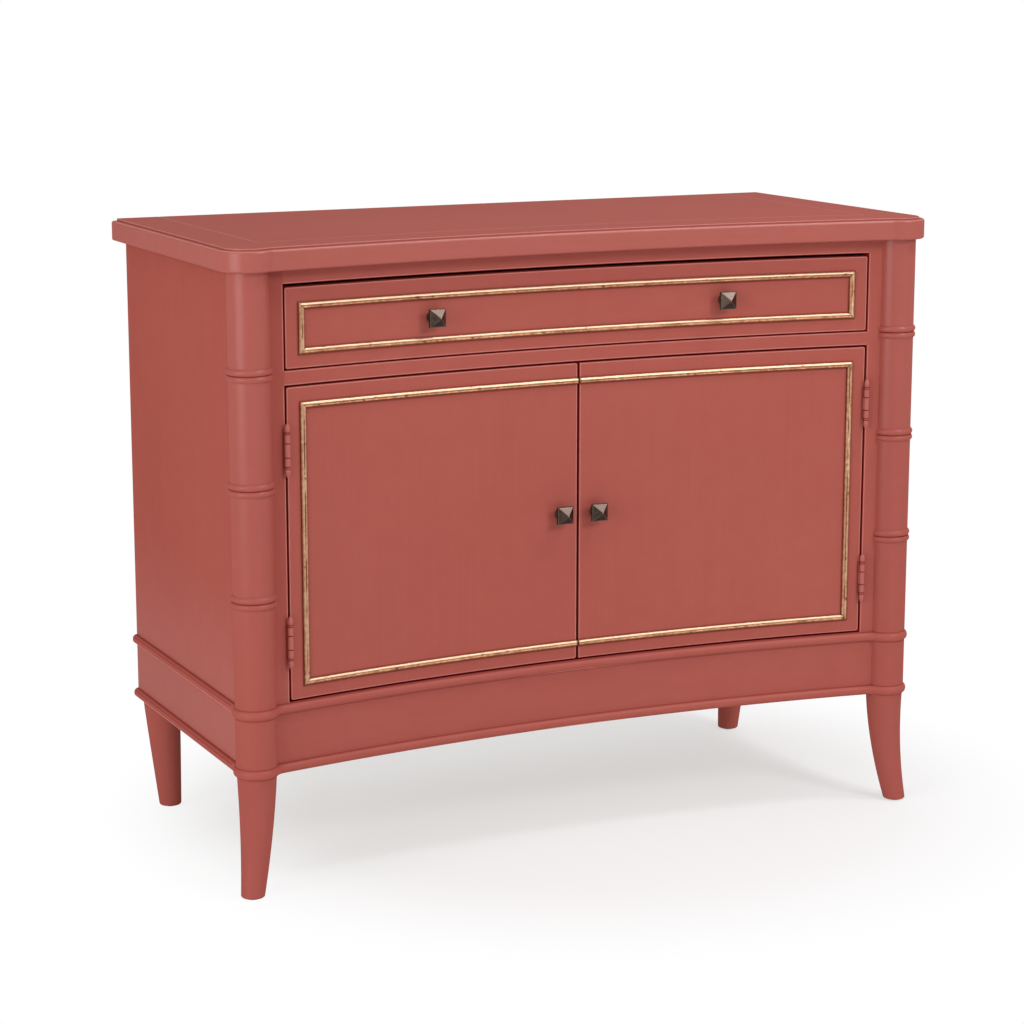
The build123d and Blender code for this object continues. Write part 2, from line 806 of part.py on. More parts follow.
for side_name, side in sides():
    with BuildPart() as door:
        with BuildSketch(Plane.XY.offset(door_low)):
            with BuildLine():
                ends = (side * meeting_gap_front, side * door_edge)
                backs = (side * meeting_gap_back, side * door_edge)
                middle = side * door_edge / 2
                face = ThreePointArc(*[(x, front_y(x)) for x in (ends[0], middle, ends[1])])
                rear_points = [(x, front_y(x, door_thickness)) for x in (backs[0], middle, backs[1])]
                rear = ThreePointArc(*rear_points)
                Line(face @ 0, rear @ 0)
                Line(face @ 1, rear @ 1)
            make_face()
        extrude(amount=door_high - door_low)
        fillet(door.edges().filter_by(Axis.Y), panel_corner_round)
        if side_name == "left":
            # its meeting edge is rounded too, where the right door's is square
            fillet(meeting_corners(door), panel_corner_round)
        fillet(panel_front_edges(door, door_thickness), edge_ease)
        leaf_x = side * (door_edge - hinge_leaf_thickness / 2)
        with Locations([(leaf_x, frame_y + hinge_leaf_depth / 2, z) for z in hinge_heights]):
            Box(hinge_leaf_thickness, hinge_leaf_depth, hinge_leaf_height, mode=Mode.SUBTRACT)
        with BuildSketch(knob_plane(side * door_knob_x, door_middle)):
            Circle(panel_hole_radius)
        extrude(amount=-2 * door_thickness, mode=Mode.SUBTRACT)
    save(door, f"{side_name}_door_panel")

    trim_ends = span(side, meeting_gap_front, door_edge - trim_inset)
    trim_low = door_low + trim_inset - trim_drop
    trim_high = door_high - trim_inset - trim_drop
    trim = gilt_trim(*trim_ends, trim_low, trim_high, -side)
    save(trim, f"{side_name}_door_trim")

    save(knob(side * door_knob_x, door_middle), f"{side_name}_door_knob")
    save(knob_screws([(side * door_knob_x, door_middle)], door_thickness), f"{side_name}_door_knob_screw")

    with BuildPart() as strike:
        with BuildSketch(Plane.XY.offset(strike_low)):
            ends = span(side, catch_x - strike_width / 2, catch_x + strike_width / 2)
            add(bowed_strip(*ends, door_thickness, door_thickness + strike_thickness))
        extrude(amount=strike_height)
    save(strike, f"{side_name}_door_strike")


# drawer
drawer_front_low = drawer_low + drawer_low_gap
drawer_front_high = drawer_high - drawer_high_gap
drawer_front_half = opening_half - drawer_side_gap
drawer_knob_z = (drawer_front_low + drawer_front_high) / 2
drawer_inner = drawer_outer - drawer_side_thickness

with BuildPart() as drawer_front:
    with BuildSketch(Plane.XY.offset(drawer_front_low)):
        add(bowed_strip(-drawer_front_half, drawer_front_half, 0, drawer_front_thickness))
    extrude(amount=drawer_front_high - drawer_front_low)
    fillet(drawer_front.edges().filter_by(Axis.Y), panel_corner_round)
    fillet(panel_front_edges(drawer_front, drawer_front_thickness), edge_ease)
    for side_name, side in sides():
        with BuildSketch(knob_plane(side * drawer_knob_x, drawer_knob_z)):
            Circle(panel_hole_radius)
        extrude(amount=-2 * drawer_front_thickness, mode=Mode.SUBTRACT)
save(drawer_front, "drawer_front")

drawer_trim = gilt_trim(
    -drawer_front_half + trim_inset,
    drawer_front_half - trim_inset,
    drawer_front_low + trim_inset - trim_drop,
    drawer_front_high - trim_inset - trim_drop,
    0,
)
save(drawer_trim, "drawer_trim")

for side_name, side in sides():
    with BuildPart() as drawer_side:
        with BuildSketch(Plane.XY.offset(drawer_side_low)):
            ends = span(side, drawer_inner, drawer_outer)
            add(bowed_board(*ends, drawer_front_thickness, drawer_back_y))
        extrude(amount=drawer_side_high - drawer_side_low)
    save(drawer_side, f"drawer_{side_name}_side")
    save(knob(side * drawer_knob_x, drawer_knob_z), f"drawer_{side_name}_knob")

with BuildPart() as drawer_back:
    with BuildSketch(Plane.XY.offset(drawer_bottom_low + drawer_bottom_thickness)):
        with Locations((0, drawer_back_y - drawer_side_thickness / 2)):
            Rectangle(2 * drawer_inner, drawer_side_thickness)
    extrude(amount=drawer_back_high - drawer_bottom_low - drawer_bottom_thickness)
save(drawer_back, "drawer_back")

with BuildPart() as drawer_bottom:
    with BuildSketch(Plane.XY.offset(drawer_bottom_low)):
        add(bowed_board(-drawer_inner, drawer_inner, drawer_front_thickness, drawer_back_y))
    extrude(amount=drawer_bottom_thickness)
save(drawer_bottom, "drawer_bottom")

drawer_knob_places = [(side * drawer_knob_x, drawer_knob_z) for _, side in sides()]
save(knob_screws(drawer_knob_places, drawer_front_thickness), "drawer_knob_screws")
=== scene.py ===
import json
import math
import random

import bmesh
import bpy
from mathutils import Matrix, Vector, noise


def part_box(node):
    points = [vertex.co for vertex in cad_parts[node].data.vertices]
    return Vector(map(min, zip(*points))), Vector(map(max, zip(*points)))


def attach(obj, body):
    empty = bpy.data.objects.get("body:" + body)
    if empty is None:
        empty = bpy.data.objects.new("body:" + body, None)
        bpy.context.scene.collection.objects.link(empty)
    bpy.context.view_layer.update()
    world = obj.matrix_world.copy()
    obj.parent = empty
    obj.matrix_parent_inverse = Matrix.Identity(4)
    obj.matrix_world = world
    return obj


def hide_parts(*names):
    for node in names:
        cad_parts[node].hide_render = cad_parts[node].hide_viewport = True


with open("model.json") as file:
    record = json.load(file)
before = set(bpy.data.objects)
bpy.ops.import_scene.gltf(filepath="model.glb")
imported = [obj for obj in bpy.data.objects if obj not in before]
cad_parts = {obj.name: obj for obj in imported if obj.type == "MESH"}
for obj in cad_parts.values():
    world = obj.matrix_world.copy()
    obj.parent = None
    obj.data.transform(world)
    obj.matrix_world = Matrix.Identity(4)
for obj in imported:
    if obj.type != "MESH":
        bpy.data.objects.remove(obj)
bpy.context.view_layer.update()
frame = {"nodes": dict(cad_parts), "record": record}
print("frame loaded with", len(frame["nodes"]), "nodes")


# camera: low three-quarter view from the front left
camera = {
    "place": (-1.6801, -3.4587, 1.219),
    "turn": 25.64,       # degrees to the right of straight ahead
    "tilt": 11.44,       # degrees below the horizon
    "lens": 94.82,
    "sensor": 36.0,
    "farthest": 60.0,
}


def makeCamera():
    data = bpy.data.cameras.new("studioCamera")
    data.lens = camera["lens"]
    data.sensor_width = camera["sensor"]
    data.clip_end = camera["farthest"]
    eye = bpy.data.objects.new("studioCamera", data)
    eye.location = camera["place"]
    eye.rotation_euler = (math.radians(90 - camera["tilt"]), 0, math.radians(-camera["turn"]))
    bpy.context.scene.collection.objects.link(eye)
    bpy.context.scene.camera = eye


makeCamera()
print("camera placed")


# node maths: a Wire is one output socket, and sums of wires add their own nodes
class Wire:
    def __init__(self, finish, socket):
        self.finish = finish
        self.socket = socket

    def calc(self, operation, first, second):
        return self.finish.add("ShaderNodeMath", {"operation": operation}, {0: first, 1: second})

    def __add__(self, other):
        return self.calc("ADD", self, other)

    def __radd__(self, other):
        return self.calc("ADD", other, self)

    def __sub__(self, other):
        return self.calc("SUBTRACT", self, other)

    def __rsub__(self, other):
        return self.calc("SUBTRACT", other, self)

    def __mul__(self, other):
        return self.calc("MULTIPLY", self, other)

    def __rmul__(self, other):
        return self.calc("MULTIPLY", other, self)

    def __pow__(self, other):
        return self.calc("POWER", self, other)

    def __abs__(self):
        return self.calc("ABSOLUTE", self, 0)

    def atMost(self, other):
        return self.calc("MINIMUM", self, other)

    def atLeast(self, other):
        return self.calc("MAXIMUM", self, other)


# how a line is drawn, for wear, painted highlights and painted shade
seamShape = {
    "core": 0.35,        # share of its half width at full strength
    "endFade": 0.0004,
}


class Finish:
    def __init__(self, name):
        self.material = bpy.data.materials.new(name)
        self.material.use_nodes = True
        self.tree = self.material.node_tree
        self.tree.nodes.clear()

    def add(self, kind, settings=None, sockets=None, output=0):
        node = self.tree.nodes.new(kind)
        for key, value in (settings or {}).items():
            if key == "stops":
                self.setStops(node.color_ramp, value)
            else:
                setattr(node, key, value)
        for key, value in (sockets or {}).items():
            if isinstance(value, Wire):
                self.tree.links.new(value.socket, node.inputs[key])
            else:
                node.inputs[key].default_value = value
        return Wire(self, node.outputs[output]) if node.outputs else None

    def setStops(self, ramp, stops):
        while len(ramp.elements) < len(stops):
            ramp.elements.new(0.5)
        for element, (position, colour) in zip(ramp.elements, stops):
            element.position = position
            element.color = (*colour, 1)

    def place(self):
        return self.add("ShaderNodeTexCoord", output="Object")

    def attribute(self, name):
        return self.add("ShaderNodeAttribute", {"attribute_name": name}, output="Fac")

    def split(self, coords):
        # the three numbers of a vector, as wires
        first = self.add("ShaderNodeSeparateXYZ", None, {0: coords})
        return [Wire(self, socket) for socket in first.socket.node.outputs]

    def distance(self, coords, centre):
        settings = {"operation": "DISTANCE"}
        return self.add("ShaderNodeVectorMath", settings, {0: coords, 1: centre}, output="Value")

    def stretched(self, coords, factors):
        settings = {"operation": "MULTIPLY"}
        return self.add("ShaderNodeVectorMath", settings, {0: coords, 1: factors})

    def lengthwise(self, coords, axis, factor):
        # coordinates that change more slowly along one axis
        factors = [1.0, 1.0, 1.0]
        factors[axis] = factor
        return self.stretched(coords, tuple(factors))

    def noise(self, coords, scale, detail=2.0, roughness=0.5):
        sockets = {"Vector": coords, "Scale": scale, "Detail": detail, "Roughness": roughness}
        return self.add("ShaderNodeTexNoise", None, sockets)

    def ramp(self, value, stops):
        return self.add("ShaderNodeValToRGB", {"stops": stops}, {0: value})

    def smooth(self, value, low, high):
        # rises gently from 0 to 1 between low and high
        settings = {"interpolation_type": "SMOOTHSTEP"}
        return self.add("ShaderNodeMapRange", settings, {0: value, 1: low, 2: high})

    def tint(self, factor, first, second):
        # a colour that goes from the first to the second as the factor rises; the mix node
        # takes colours at its inputs 6 and 7 and gives one at its output 2
        sockets = {0: factor}
        for key, colour in ((6, first), (7, second)):
            sockets[key] = colour if isinstance(colour, Wire) else (*colour, 1)
        return self.add("ShaderNodeMix", {"data_type": "RGBA"}, sockets, output=2)

    def seam(self, numbers, line):
        # a soft line across one of the numbers, kept between limits on others
        half = line["half"]
        off = abs(numbers[line["across"]] - line["at"])
        mask = 1 - self.smooth(off, half * seamShape["core"], half)
        fade = seamShape["endFade"]
        for name, low, high in line.get("within", ()):
            mask = mask * self.smooth(numbers[name], low - fade, low + fade)
            mask = mask * (1 - self.smooth(numbers[name], high - fade, high + fade))
        return mask

    def outside(self, numbers, box, corner):
        # how far a point lies outside an upright rectangle with rounded corners
        lowX, highX, lowZ, highZ = box
        sideways = abs(numbers["x"] - (lowX + highX) / 2) - ((highX - lowX) / 2 - corner)
        upright = abs(numbers["z"] - (lowZ + highZ) / 2) - ((highZ - lowZ) / 2 - corner)
        beyond = (sideways.atLeast(0) ** 2 + upright.atLeast(0) ** 2) ** 0.5
        return beyond + sideways.atLeast(upright).atMost(0) - corner

    def bump(self, height, depth, under=None):
        sockets = {"Height": height, "Strength": 1.0, "Distance": depth}
        if under:
            sockets["Normal"] = under
        return self.add("ShaderNodeBump", None, sockets)

    def surface(self, sockets):
        skin = self.add("ShaderNodeBsdfPrincipled", None, sockets)
        self.add("ShaderNodeOutputMaterial", None, {"Surface": skin})
        return self.material


# the concave front is an arc about an upright axis, worked out from the frame
railLow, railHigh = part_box("top_rail")
front = {
    "half": railHigh.x,
    "edge": railLow.y,       # of the face at its ends, which stand furthest forward
    "board": 0.022,          # thickness of the rail
}
front["bow"] = railHigh.y - front["board"] - front["edge"]
front["radius"] = (front["half"] ** 2 + front["bow"] ** 2) / (2 * front["bow"])
front["centre"] = front["edge"] + front["bow"] - front["radius"]


# painted wood: satin rosy red, brushed along the length of each piece
paint = {
    "colour": (0.405, 0.0955, 0.0735),
    "pale": (0.455, 0.126, 0.101),
    "deep": (0.335, 0.068, 0.052),
    "edge": (0.600, 0.235, 0.200),     # rubbed arrises, with a painted highlight on their rounds
    "lipHighlight": (0.760, 0.360, 0.305),      # painted highlight under the side mouldings, which lie in shade
    "glazeAndShade": (0.220, 0.011, 0.009),    # darker glaze, and painted shade, in grooves, gaps and crevices
    "paleShare": 0.62,
    "paleSpread": 0.7,         # how unevenly the arrises are rubbed
    "darkShare": 0.92,
    "roughness": 0.46,
    "specular": 0.0,
    "coat": 0.042,
    "polish": 0.14,            # coat on the hinges and on the top's edge
    "polishFade": 0.0004,
    "legCoat": 0.07,
    "columnCoat": 0.045,       # coat at the foot of the columns, and how much it gains upwards
    "columnGain": 0.08,
    "sideCoat": 0.175,         # wax low on the sides, gone higher up
    "topCoat": 0.085,
    "mouldingCoat": 0.04,
    "coatIor": 2.5,            # a high index, so that a thin coat still shines
    "coatRoughness": 0.32,
    "cloudScale": 2.6,
    "mottleScale": 38.0,
    "wornScale": 95.0,
    "strokeScale": 150.0,      # brush marks across one metre
    "strokeLength": 0.022,     # how much slower they change along the stroke
    "grainScale": 900.0,
    "strokeTone": 0.32,        # how far strokes, clouds and mottle sway the colour
    "cloudTone": 0.5,
    "mottleTone": 0.3,
    "toneReach": 0.45,
    "toneShare": 0.4,
    "strokeRough": 0.16,       # and the roughness
    "cloudRough": 0.12,
    "strokeDepth": 0.00004,
    "grainDepth": 0.00002,
}


def paintFinish(name, axis, marks=None):
    marks = marks or {}
    finish = Finish(name)
    here = finish.place()
    brushed = finish.lengthwise(here, axis, paint["strokeLength"])
    cloud = finish.noise(here, paint["cloudScale"], detail=3.0)
    strokes = finish.noise(brushed, paint["strokeScale"], detail=4.0, roughness=0.65)
    grain = finish.noise(brushed, paint["grainScale"])
    mottle = finish.noise(here, paint["mottleScale"], detail=3.0)
    sway = (strokes - 0.5) * paint["strokeTone"] + (cloud - 0.5) * paint["cloudTone"]
    sway = sway + (mottle - 0.5) * paint["mottleTone"]
    tone = finish.smooth(sway, -paint["toneReach"], paint["toneReach"])
    colour = finish.tint(tone, paint["deep"], paint["pale"])
    colour = finish.tint(paint["toneShare"], paint["colour"], colour)
    # painted highlight: the colour lifted towards the pale edge colour
    colour = finish.tint(marks.get("highlightLift", 0.0), colour, paint["edge"])
    # lines of wear, painted highlight and painted shade lie across these: a point's place, how far it
    # stands from the axis of the concave front, and how far it lies outside each rectangle
    numbers = dict(zip(("x", "y", "z"), finish.split(here)))
    level = finish.stretched(here, (1.0, 1.0, 0.0))
    numbers["front"] = finish.distance(level, (0, front["centre"], 0))
    for key, (box, corner) in marks.get("boxes", {}).items():
        numbers[key] = finish.outside(numbers, box, corner)
    # painted shade: the colour mixed towards the deep colour
    shade = marks.get("shade", 0.0)
    if "shadeRise" in marks:
        shade = shade * finish.smooth(numbers["z"], *marks["shadeRise"])
    colour = finish.tint(shade, colour, paint["deep"])
    worn = finish.noise(here, paint["wornScale"], detail=3.0)
    # pale lines: rubbed arrises and painted highlights
    for line in marks.get("pale", ()):
        share = line.get("share", paint["paleShare"])
        mask = finish.seam(numbers, line) * (share + (worn - 0.5) * paint["paleSpread"])
        colour = finish.tint(mask, colour, line.get("tone", paint["edge"]))
    clear = 1
    # dark lines: glaze and painted shade in gaps, grooves and crevices, and darker lines beside the
    # gilt
    for line in marks.get("dark", ()):
        mask = finish.seam(numbers, line) * line.get("share", paint["darkShare"])
        colour = finish.tint(mask, colour, paint["glazeAndShade"])
        clear = clear * (1 - mask)
    coat = marks.get("coat", paint["coat"])
    if "polishBelow" in marks:
        # the edge of the board is rubbed to a higher polish than its face
        top = marks["polishBelow"]
        onFace = finish.smooth(numbers["z"], top - paint["polishFade"], top)
        coat = paint["polish"] + (paint["topCoat"] - paint["polish"]) * onFace
    if "coatRise" in marks:
        gain, low, high = marks["coatRise"]
        coat = coat + gain * finish.smooth(numbers["z"], low, high)
    rough = paint["roughness"] + (strokes - 0.5) * paint["strokeRough"]
    rough = rough + (cloud - 0.5) * paint["cloudRough"]
    relief = finish.bump(strokes, paint["strokeDepth"])
    relief = finish.bump(grain, paint["grainDepth"], relief)
    return finish.surface({
        "Base Color": colour,
        "Roughness": rough,
        "Normal": relief,
        "Specular IOR Level": paint["specular"],
        "Coat Weight": coat * clear,
        "Coat IOR": paint["coatIor"],
        "Coat Roughness": paint["coatRoughness"],
    })


# antiqued gold leaf: bright on the crowns, umber glaze in the hollows, small nicks; on level
# stretches a painted highlight above and painted shade below
gilt = {
    "light": (0.68, 0.485, 0.315),
    "gold": (0.42, 0.192, 0.096),
    "glazeAndShade": (0.185, 0.045, 0.018),
    "stops": (0.18, 0.50, 0.92),       # heights of glaze, gold and light
    "wearScale": 160.0,
    "patchScale": 28.0,
    "speckScale": 620.0,
    "wearTone": 0.7,           # how far wear, patches and specks sway the height
    "patchTone": 0.45,
    "speckTone": 0.5,
    "dirt": (0.60, 0.70),
    "dirtShare": 0.8,
    "dirtLow": 0.2,            # how much sooner dirt shows in the hollows
    "leaf": (0.15, 0.5),
    "metallic": 0.38,
    "specular": 0.2,
    "roughness": 0.34,
    "bareRough": 0.25,
    "speckRough": 0.2,
    "wearDepth": 0.0002,
}


def giltFinish(name):
    finish = Finish(name)
    here = finish.place()
    crown = finish.attribute("crown")
    rubbed = finish.noise(here, gilt["wearScale"], detail=4.0, roughness=0.6)
    patches = finish.noise(here, gilt["patchScale"], detail=3.0)
    specks = finish.noise(here, gilt["speckScale"], roughness=0.6)
    height = crown + (rubbed - 0.5) * gilt["wearTone"] + (patches - 0.5) * gilt["patchTone"]
    height = height + (specks - 0.5) * gilt["speckTone"]
    colours = (gilt["glazeAndShade"], gilt["gold"], gilt["light"])
    colour = finish.ramp(height, list(zip(gilt["stops"], colours)))
    dirt = finish.smooth(specks + (0.5 - crown) * gilt["dirtLow"], *gilt["dirt"])
    colour = finish.tint(dirt * gilt["dirtShare"], colour, gilt["glazeAndShade"])
    leaf = finish.smooth(height, *gilt["leaf"])
    rough = gilt["roughness"] + (1 - leaf) * gilt["bareRough"] + (specks - 0.5) * gilt["speckRough"]
    return finish.surface({
        "Base Color": colour,
        "Metallic": gilt["metallic"] * leaf,
        "Roughness": rough,
        "Normal": finish.bump(rubbed, gilt["wearDepth"]),
        "Specular IOR Level": gilt["specular"],
    })


# antique bronze: nearly black brown, rubbed paler on the edges
bronze = {
    "dark": (0.025, 0.012, 0.008),
    "brown": (0.042, 0.0255, 0.0155),
    "rubbed": (0.22, 0.165, 0.12),
    "rubbedShare": 0.34,
    "rubbedSpread": 0.6,
    "rubbedFrom": (0.45, 0.95),
    "patinaScale": 190.0,
    "patina": (0.35, 0.68),
    "pitScale": 1400.0,
    "pitDepth": 0.000008,
    "metallic": 0.85,
    "roughness": 0.25,
    "patinaRough": 0.2,
    "wax": 0.22,             # coat of wax polish, which shines without a tint
}


def bronzeFinish(name):
    finish = Finish(name)
    here = finish.place()
    edge = finish.attribute("edge")
    patina = finish.noise(here, bronze["patinaScale"], detail=4.0, roughness=0.6)
    pits = finish.noise(here, bronze["pitScale"])
    colour = finish.tint(finish.smooth(patina, *bronze["patina"]), bronze["dark"], bronze["brown"])
    worn = finish.smooth(edge + (patina - 0.5) * bronze["rubbedSpread"], *bronze["rubbedFrom"])
    colour = finish.tint(worn * bronze["rubbedShare"], colour, bronze["rubbed"])
    return finish.surface({
        "Base Color": colour,
        "Metallic": bronze["metallic"],
        "Roughness": bronze["roughness"] + (patina - 0.5) * bronze["patinaRough"],
        "Normal": finish.bump(pits, bronze["pitDepth"]),
        "Coat Weight": bronze["wax"],
        "Coat Roughness": bronze["roughness"],
    })


# bare wood inside the case and the drawer
wood = {
    "early": (0.56, 0.385, 0.215),
    "late": (0.41, 0.255, 0.125),
    "plyPaleness": 0.25,
    "grainLength": 0.05,       # how much slower the grain changes along the board
    "ringScale": 26.0,
    "rings": 7.0,
    "ringTone": 0.6,
    "fibreScale": 900.0,
    "fibreTone": 0.6,
    "shade": (0.15, 1.0),
    "calm": 0.45,              # how far the figure is evened out
    "roughness": 0.52,
    "fibreRough": 0.2,
    "fibreDepth": 0.00008,
}


def woodFinish(name, axis, paleness=0.0):
    finish = Finish(name)
    grain = finish.lengthwise(finish.place(), axis, wood["grainLength"])
    figure = finish.noise(grain, wood["ringScale"], detail=4.0, roughness=0.55)
    fibre = finish.noise(grain, wood["fibreScale"], detail=3.0, roughness=0.6)
    bands = finish.add("ShaderNodeMath", {"operation": "FRACT"}, {0: figure * wood["rings"]})
    shade = finish.smooth(bands * wood["ringTone"] + fibre * wood["fibreTone"], *wood["shade"])
    early = tuple(part + (1 - part) * paleness for part in wood["early"])
    colour = finish.tint(shade, early, wood["late"])
    colour = finish.tint(wood["calm"], colour, early)
    return finish.surface({
        "Base Color": colour,
        "Roughness": wood["roughness"] + (fibre - 0.5) * wood["fibreRough"],
        "Normal": finish.bump(fibre, wood["fibreDepth"]),
    })


# dull plated steel of the catches, strikes and screws
steel = {
    "colour": (0.60, 0.60, 0.58),
    "darker": 0.8,
    "cloudScale": 220.0,
    "scratchScale": 1500.0,
    "scratchLength": 0.1,
    "scratchDepth": 0.00003,
    "metallic": 0.95,
    "roughness": 0.34,
    "cloudRough": 0.2,
}


def steelFinish(name):
    finish = Finish(name)
    here = finish.place()
    cloud = finish.noise(here, steel["cloudScale"], detail=3.0)
    drawn = finish.lengthwise(here, 2, steel["scratchLength"])
    scratch = finish.noise(drawn, steel["scratchScale"])
    darker = tuple(part * steel["darker"] for part in steel["colour"])
    return finish.surface({
        "Base Color": finish.tint(cloud, darker, steel["colour"]),
        "Metallic": steel["metallic"],
        "Roughness": steel["roughness"] + (cloud - 0.5) * steel["cloudRough"],
        "Normal": finish.bump(scratch, steel["scratchDepth"]),
    })


# dark nylon of the foot glides
nylon = {
    "colour": (0.018, 0.015, 0.013),
    "lighter": 1.35,
    "mouldScale": 700.0,
    "mouldDepth": 0.00005,
    "roughness": 0.5,
    "mouldRough": 0.2,
}


def nylonFinish(name):
    finish = Finish(name)
    mould = finish.noise(finish.place(), nylon["mouldScale"])
    lighter = tuple(part * nylon["lighter"] for part in nylon["colour"])
    return finish.surface({
        "Base Color": finish.tint(mould, nylon["colour"], lighter),
        "Roughness": nylon["roughness"] + (mould - 0.5) * nylon["mouldRough"],
        "Normal": finish.bump(mould, nylon["mouldDepth"]),
    })


finishes = {
    "paintX": paintFinish("rosyPaintAcross", 0),
    "paintY": paintFinish("rosyPaintDeep", 1),
    "paintZ": paintFinish("rosyPaintUpright", 2),
    "gilt": giltFinish("antiquedGilt"),
    "bronze": bronzeFinish("antiqueBronze"),
    "woodX": woodFinish("insideWoodAcross", 0),
    "woodY": woodFinish("insideWoodDeep", 1),
    "ply": woodFinish("thinPlywood", 0, wood["plyPaleness"]),
    "steel": steelFinish("zincSteel"),
    "nylon": nylonFinish("darkNylon"),
}
print("finishes made")


# which finish each node takes, from its slot in the record and the way its grain runs
slotFinish = {
    "rosy_red_paint": ("paintX", "paintY", "paintZ"),
    "painted_hinge_metal": ("paintZ",) * 3,
    "inside_wood": ("woodX", "woodY", "woodX"),
    "thin_plywood": ("ply",) * 3,
    "gilt_moulding": ("gilt",) * 3,
    "antique_bronze": ("bronze",) * 3,
    "zinc_steel": ("steel",) * 3,
    "dark_nylon": ("nylon",) * 3,
}
uprightPanels = ("left_side_panel", "right_side_panel", "left_door_panel", "right_door_panel")


def grainAxis(node):
    # grain runs along the longest side, but always upright on the upright panels
    if node in uprightPanels:
        return 2
    low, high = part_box(node)
    lengths = list(high - low)
    return lengths.index(max(lengths))


def dress(piece, material):
    piece.data.materials.clear()
    piece.data.materials.append(material)


for part in frame["record"]["subparts"]:
    node = part["node"]
    dress(frame["nodes"][node], finishes[slotFinish[part["material_slot"]][grainAxis(node)]])
print("nodes dressed")


# pale arrises, rubbed and with painted highlights, and gaps and grooves with glaze and painted shade;
# lengths are in metres
wearAndPaintedLight = {
    "gap": 0.00075,          # glaze and painted shade on each side of a gap, in from the edge
    "arris": 0.0015,         # middle of the rubbed line with its painted highlight, in from the edge
    "arrisHalf": 0.0009,
    "panelCorner": 0.003,
    "ahead": 0.02,           # lines on the front stop this far in front of the concave face
    "reach": 0.0035,         # and this far behind it, or further on the rails and the apron
    "sillReach": 0.008,
    "past": 0.1,             # how far a rectangle runs on past an edge that it leaves out
    "trimWidth": 0.009,
    "besideGilt": 0.0026,         # a darker umber line each side of the gilt
    "besideGiltShare": 0.32,
    "rings": (0.403, 0.553, 0.703),    # heights of the columns' nodes
    "ringHalf": 0.0012,
    "ringShare": 0.55,
    "crevice": 0.0014,       # painted shade above and below the base mouldings
    "creviceShare": 0.36,
    "turn": 0.06,            # where a moulding leaves the front for the side
    "slack": 0.001,
    "groove": 0.0034,        # painted shade: a dark line on the sides, below the moulding's top
    "grooveHalf": 0.0014,
    "grooveShare": 0.40,
    "lipHighlight": 0.0020,           # and a pale painted highlight above its underside
    "lipHighlightHalf": 0.0024,
    "lipHighlightShare": {"lower_base_moulding": 1.1, "upper_base_moulding": 0.7},
    "hingeHeights": (0.342, 0.600),
    # gaps between knuckles and finials, from the middle of each hinge
    "hingeRings": (-0.0239, -0.0215, -0.0094, 0.0094, 0.0215, 0.0239),
    "hingeRingHalf": 0.0010,
    "hingeShade": 0.0018,    # painted shade on the stile and the door beside each barrel
    "hingeShadeShare": 0.5,
    # painted highlight on the hinges
    "hingeHighlightLift": 0.16,
    "topArris": 0.0008,      # two pale lines, below the top's face: painted highlights on its arrises
    "topLower": 0.0039,
    "topHalf": 0.0008,
    "topShare": 0.8,
    "topLineInset": 0.0697,  # middle of the fine line round the top, in from the ends
    "topLineBack": 0.0453,   # and behind the concave face
    "topLineHalf": 0.0026,
    "topFace": (0.0006, 0.001),        # how far below and above the face it is kept
    "farBack": 4.0,
    "topPolish": 0.001,      # the polish starts this far below the face
    "sideRise": (0.20, 0.46),          # heights between which coats and shades change
    "columnRise": (0.10, 0.84),
    "stileRise": (0.24, 0.44),
    # painted shade, mixed towards the deep colour, on the columns, the left stile and the legs
    "columnShade": 0.18,
    "stileShade": 0.66,
    "legShade": 0.3,
}


def lineAcross(number, at, half, **more):
    return {"across": number, "at": at, "half": half, **more}


def facing(reach):
    # limits that keep a line near the concave face
    return (("front", front["radius"] - wearAndPaintedLight["ahead"], front["radius"] + reach),)


def edgeMarks(edges, within):
    # painted shade as a dark line at each edge, and a pale line just inside it: a rubbed arris with a
    # painted highlight
    dark = [lineAcross(number, edge, wearAndPaintedLight["gap"], within=within) for number, edge, inward in edges]
    pale = [
        lineAcross(number, edge + inward * wearAndPaintedLight["arris"], wearAndPaintedLight["arrisHalf"], within=within)
        for number, edge, inward in edges
    ]
    return {"pale": pale, "dark": dark}


def panelMarks():
    # edges of the doors and the drawer front, and umber beside the gilt on them
    near = facing(wearAndPaintedLight["reach"])
    closed = (0.0, 0.0)
    past = wearAndPaintedLight["past"]
    # how far each rectangle runs on past a square edge, where the doors or their mouldings meet
    panels = {
        "left_door_panel": ("left_door_trim", closed, (0.0, past)),
        "right_door_panel": ("right_door_trim", (past, 0.0), (past, 0.0)),
        "drawer_front": ("drawer_trim", closed, closed),
    }
    marks = {}
    for node, (trim, panelPast, trimPast) in panels.items():
        rectangles = {
            "panel": (node, wearAndPaintedLight["panelCorner"], panelPast),
            "trim": (trim, 0.0, trimPast),
        }
        boxes = {}
        for key, (name, corner, beyond) in rectangles.items():
            low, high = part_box(name)
            boxes[key] = ((low.x - beyond[0], high.x + beyond[1], low.z, high.z), corner)
        edges = [("panel", 0.0, -1)]
        if panelPast[0]:
            edges.append(("x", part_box(node)[0].x, 1))
        marks[node] = edgeMarks(edges, near)
        marks[node]["boxes"] = boxes
        marks[node]["dark"] += [
            lineAcross("trim", at, wearAndPaintedLight["besideGilt"], share=wearAndPaintedLight["besideGiltShare"], within=near)
            for at in (0.0, -wearAndPaintedLight["trimWidth"])
        ]
    return marks


